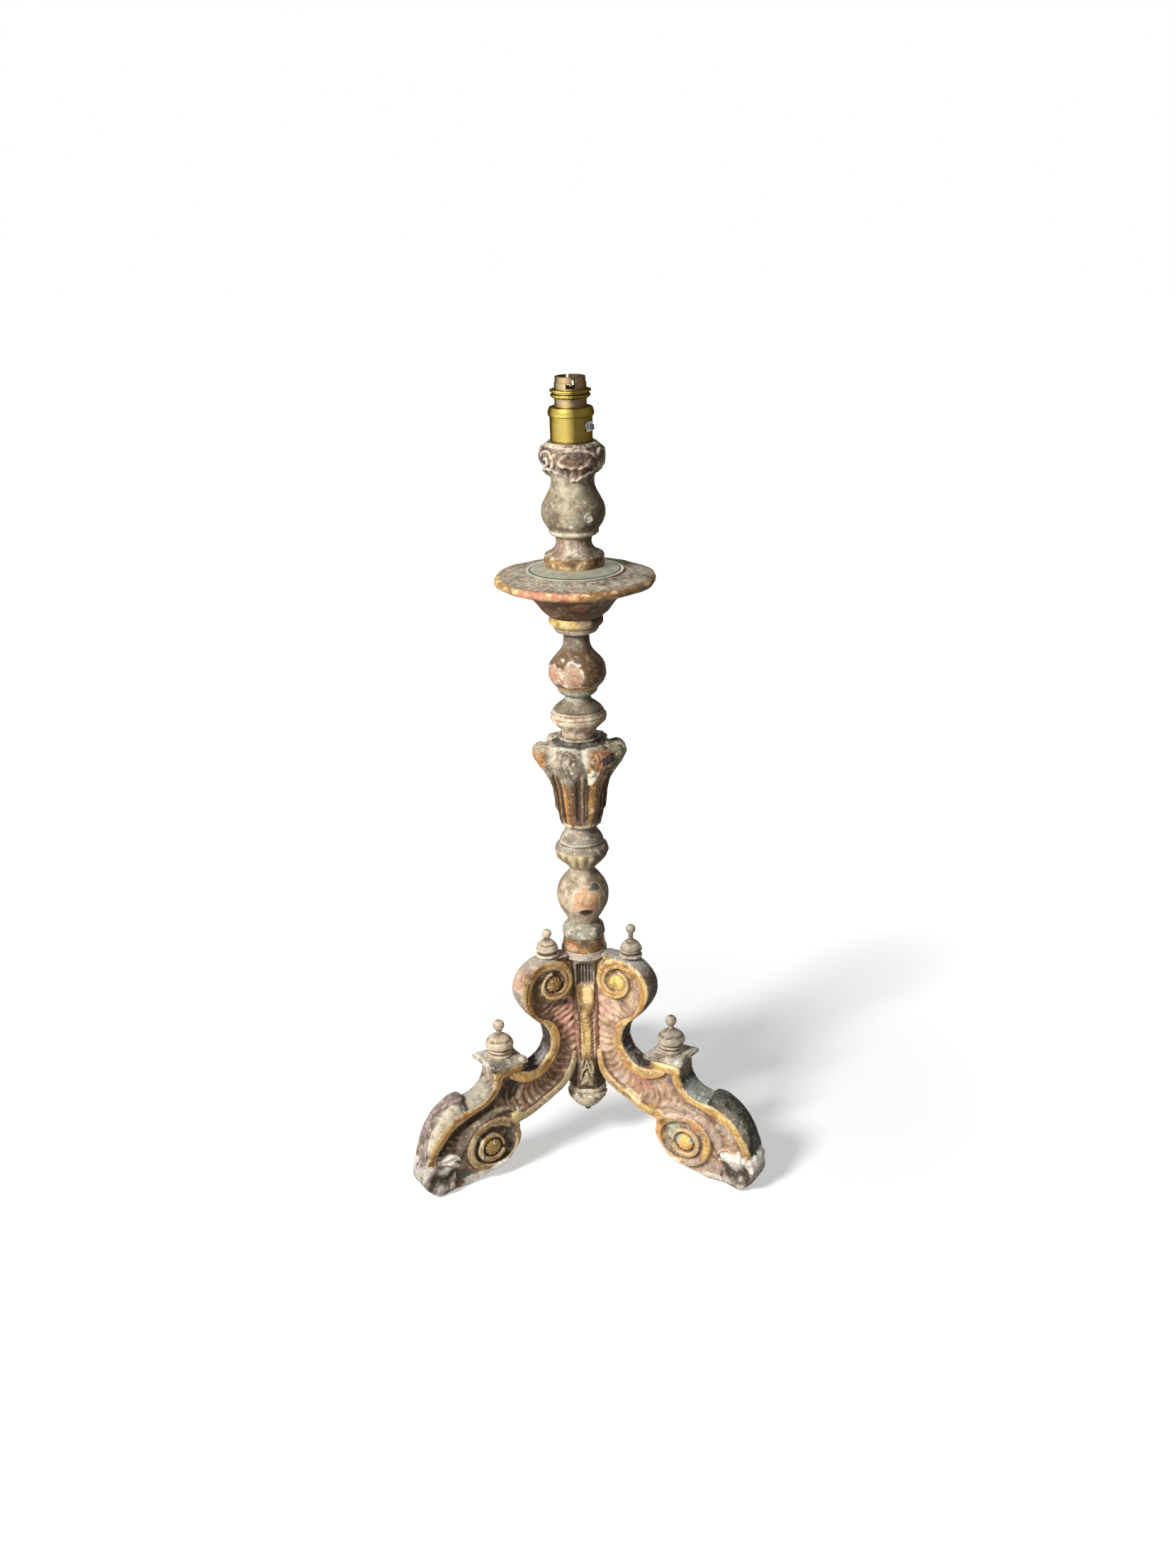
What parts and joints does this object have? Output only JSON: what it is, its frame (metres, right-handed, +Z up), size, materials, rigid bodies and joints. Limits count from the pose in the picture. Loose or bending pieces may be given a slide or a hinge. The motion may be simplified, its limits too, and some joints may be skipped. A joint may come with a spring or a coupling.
{
  "type": "torchere candle stand lamp base",
  "caption": "Carved and gilded baroque torchere candle stand on scrolled legs, turned stem, drip pan and nozzle, fitted with a brass bulb holder.",
  "frame": {"origin": "point on the floor under the middle of the turned column", "axes": "+Z up along the column to the bulb socket, -Y to the front, between the left and the right leg, +X to the right"},
  "size_m": [0.3614, 0.313, 0.8045],
  "materials": {
    "carved_wood": "worn gilding over red bole and gesso",
    "gilded_wood": "worn gilding, dusty",
    "painted_wood": "worn red-brown paint, dusty",
    "bare_wood": "bare",
    "zinc_sheet": "dull",
    "brass": "polished",
    "aged_brass": "aged",
    "porcelain": "glazed",
    "spring_steel": "satin",
    "black_plastic": "matte"
  },
  "bodies": {
    "stand": {"hub_block": "gilded_wood", "leg_left": "carved_wood", "leg_right": "carved_wood", "leg_back": "carved_wood", "leg_dowels": "bare_wood", "pendant_finial": "gilded_wood", "upper_finial_left": "gilded_wood", "upper_finial_right": "gilded_wood", "upper_finial_back": "gilded_wood", "plinth_left": "gilded_wood", "plinth_right": "gilded_wood", "plinth_back": "gilded_wood", "lower_finial_left": "gilded_wood", "lower_finial_right": "gilded_wood", "lower_finial_back": "gilded_wood", "lower_column": "gilded_wood", "capital": "gilded_wood", "upper_column": "gilded_wood", "drip_pan": "painted_wood", "drip_plate": "zinc_sheet", "nozzle": "gilded_wood", "threaded_nipple": "brass", "nipple_nut": "brass", "holder_cover": "brass", "retaining_ring": "brass", "socket_barrel": "aged_brass", "contact_block": "porcelain", "plunger_spring_left": "spring_steel", "plunger_spring_right": "spring_steel", "terminal_screws": "brass", "earth_terminal": "brass", "switch_bushes": "spring_steel"},
    "upper_ring": {"shade_ring_upper": "brass"},
    "lower_ring": {"shade_ring_lower": "brass"},
    "switch": {"switch_bar": "spring_steel", "switch_tips": "black_plastic"},
    "left_contact": {"contact_plunger_left": "brass"},
    "right_contact": {"contact_plunger_right": "brass"}
  },
  "joints": [
    {"name": "shade_ring_upper_slide", "type": "slide", "parent": "stand", "child": "upper_ring", "axis": [0, 0, 1], "range_m": [0, 0.009]},
    {"name": "shade_ring_lower_slide", "type": "slide", "parent": "stand", "child": "lower_ring", "axis": [0, 0, 1], "range_m": [-0.0077, 0]},
    {"name": "switch_bar_slide", "type": "slide", "parent": "stand", "child": "switch", "axis": [-0.7986, 0.6018, 0], "range_m": [0, 0.0045]},
    {"name": "contact_plunger_left_slide", "type": "slide", "parent": "stand", "child": "left_contact", "axis": [0, 0, -1], "range_m": [0, 0.004], "stiffness_N_per_m": 1500, "deforming": ["plunger_spring_left"]},
    {"name": "contact_plunger_right_slide", "type": "slide", "parent": "stand", "child": "right_contact", "axis": [0, 0, -1], "range_m": [0, 0.004], "stiffness_N_per_m": 1500, "deforming": ["plunger_spring_right"]}
  ]
}
